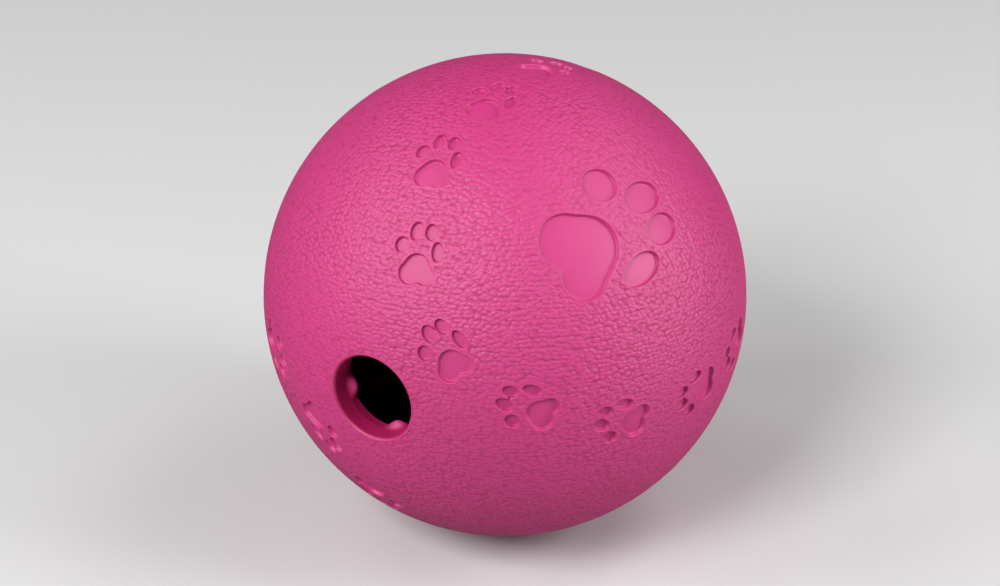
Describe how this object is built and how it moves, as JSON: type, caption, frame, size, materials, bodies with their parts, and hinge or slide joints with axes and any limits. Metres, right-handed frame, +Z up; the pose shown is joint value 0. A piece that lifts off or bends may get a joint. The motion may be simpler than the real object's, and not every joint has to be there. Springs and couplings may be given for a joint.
{
  "type": "treat dispensing ball",
  "caption": "Hollow rubber ball engraved with paw prints, with a round mouth and a loose labyrinth inside that lets treats out slowly as the ball rolls.",
  "frame": {"origin": "centre of the ball", "axes": "-Y along the axis of the ball, out through the mouth; +Z up as the ball lies with its mouth to the side; +X to the right when looking into the mouth"},
  "size_m": [0.09, 0.0892, 0.09],
  "materials": {
    "pink_rubber": "matte natural rubber with a fine pebble grain and a soft sheen",
    "black_plastic": "fine moulded matte"
  },
  "bodies": {
    "ball": {"shell_front": "pink_rubber", "shell_back": "pink_rubber"},
    "labyrinth": {"maze_post": "black_plastic", "rear_baffle": "black_plastic", "rear_spacer": "black_plastic", "middle_baffle": "black_plastic", "front_spacer": "black_plastic", "front_baffle": "black_plastic", "post_cap": "black_plastic"}
  },
  "joints": [
    {"name": "labyrinth_turn", "type": "hinge", "parent": "ball", "child": "labyrinth", "pos_m": [0, 0, 0], "axis": [0, -1, 0], "continuous": true}
  ]
}
